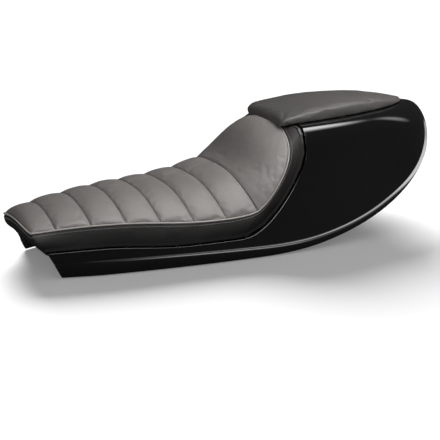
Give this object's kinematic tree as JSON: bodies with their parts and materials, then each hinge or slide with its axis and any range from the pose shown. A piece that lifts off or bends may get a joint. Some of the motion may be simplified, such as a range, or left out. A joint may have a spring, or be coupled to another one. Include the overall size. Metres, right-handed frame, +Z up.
{
  "type": "cafe racer seat",
  "caption": "Motorcycle solo seat unit: gloss moulded shell with a rear cowl, a sewn ribbed seat cushion rising into a back hump, and a flat tail pad on the cowl.",
  "frame": {"origin": "middle of the length and width, at the level of the shell's flat lower edge", "axes": "+X from the cushion's nose to the tail tip, +Y to the rider's right, +Z up"},
  "size_m": [0.7, 0.266, 0.2035],
  "materials": {
    "gloss_shell": "gloss",
    "top_leather": "satin",
    "side_leather": "satin",
    "pad_leather": "satin",
    "piping": "satin",
    "thread": "matte",
    "foam": "matte",
    "base_board": "matte",
    "rubber_spacer": "matte",
    "zinc_steel": "satin"
  },
  "bodies": {
    "root": {"shell": "gloss_shell", "frame_bushes": "zinc_steel", "seat_board": "base_board", "seat_foam": "foam", "ribbed_panel": "top_leather", "hump_panel": "top_leather", "side_band": "side_leather", "seat_welt": "piping", "seat_staples": "zinc_steel", "seat_spacers": "rubber_spacer", "seat_studs": "zinc_steel", "seat_washers": "zinc_steel", "seat_nuts": "zinc_steel", "pad_board": "base_board", "pad_foam": "foam", "pad_cover": "pad_leather", "pad_staples": "zinc_steel", "pad_spacers": "rubber_spacer", "pad_studs": "zinc_steel", "pad_washers": "zinc_steel", "pad_nuts": "zinc_steel"}
  },
  "joints": []
}
